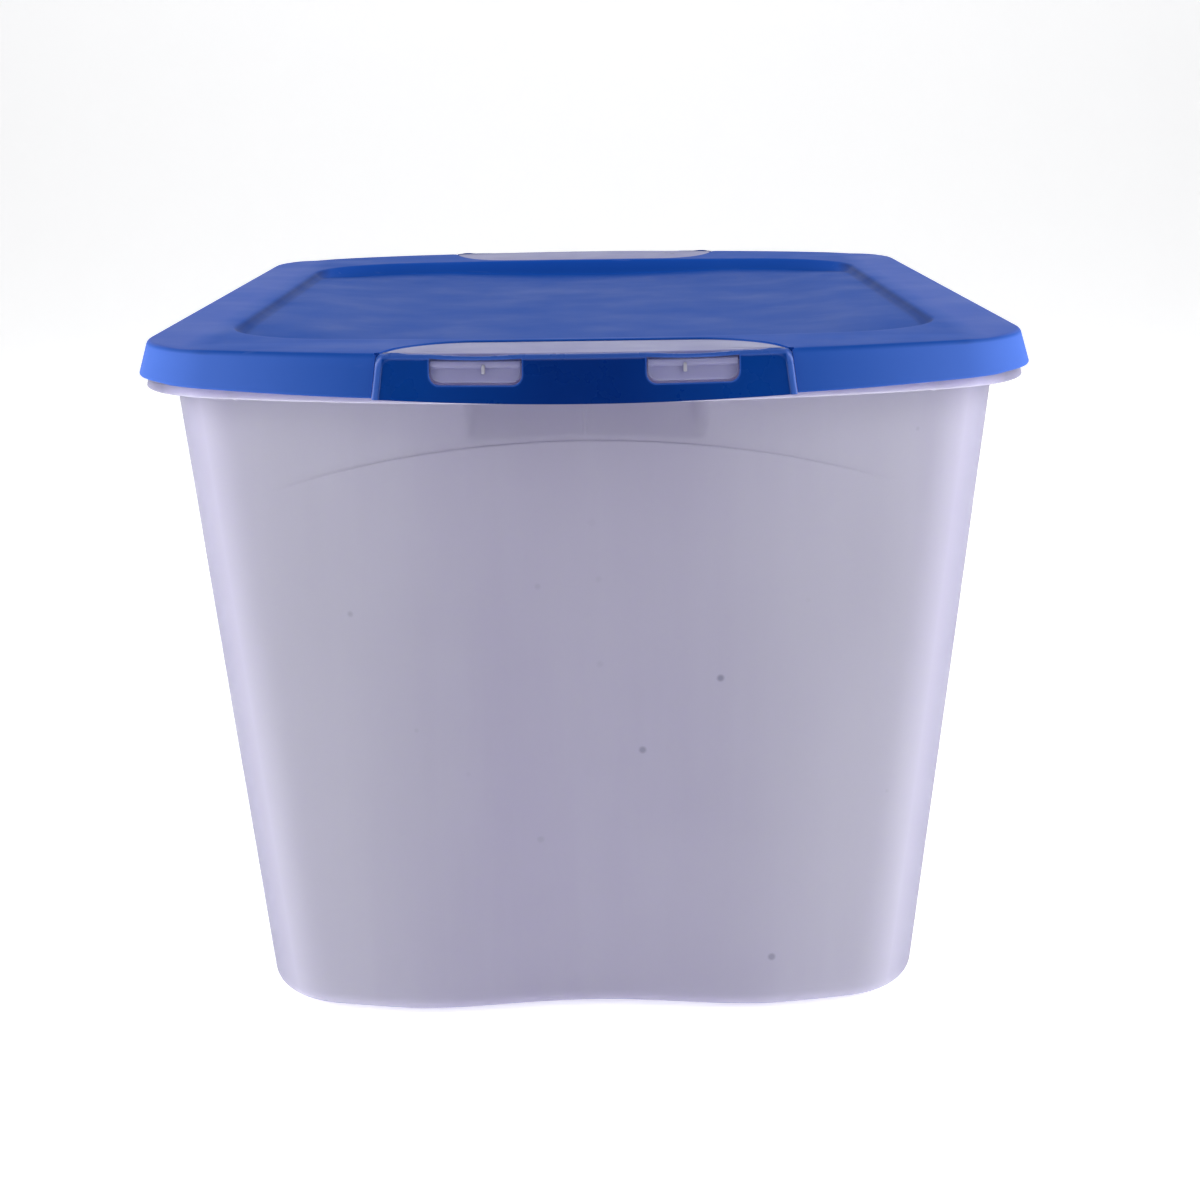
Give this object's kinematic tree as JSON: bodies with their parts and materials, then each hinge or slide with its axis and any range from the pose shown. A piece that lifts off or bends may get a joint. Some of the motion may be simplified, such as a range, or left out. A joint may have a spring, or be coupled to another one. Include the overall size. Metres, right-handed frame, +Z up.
{
  "type": "storage tote",
  "caption": "Translucent plastic storage tote with tapered walls, a lift-off lid with a sunken panel, and a hinged flap latch at each end.",
  "frame": {"origin": "middle of the flat underside, on the floor", "axes": "+Z up, Y along the tote with the front latch at -Y and the rear latch at +Y, X across it"},
  "size_m": [0.437, 0.5994, 0.3394],
  "materials": {
    "tub_plastic": "milky translucent, soft sheen",
    "lid_plastic": "fine matt texture",
    "latch_plastic": "smooth gloss"
  },
  "bodies": {
    "tub": {"tub": "tub_plastic"},
    "lid": {"lid": "lid_plastic"},
    "latch_front": {"latch_front": "latch_plastic"},
    "latch_rear": {"latch_rear": "latch_plastic"}
  },
  "joints": [
    {"name": "lid_lift", "type": "slide", "parent": "tub", "child": "lid", "axis": [0, 0, 1], "range_m": [0, 0.15]},
    {"name": "front_latch_swing", "type": "hinge", "parent": "lid", "child": "latch_front", "pos_m": [0, -0.2816, 0.3348], "axis": [-1, 0, 0], "range_deg": [0, 50]},
    {"name": "rear_latch_swing", "type": "hinge", "parent": "lid", "child": "latch_rear", "pos_m": [0, 0.2816, 0.3348], "axis": [1, 0, 0], "range_deg": [0, 50]}
  ]
}
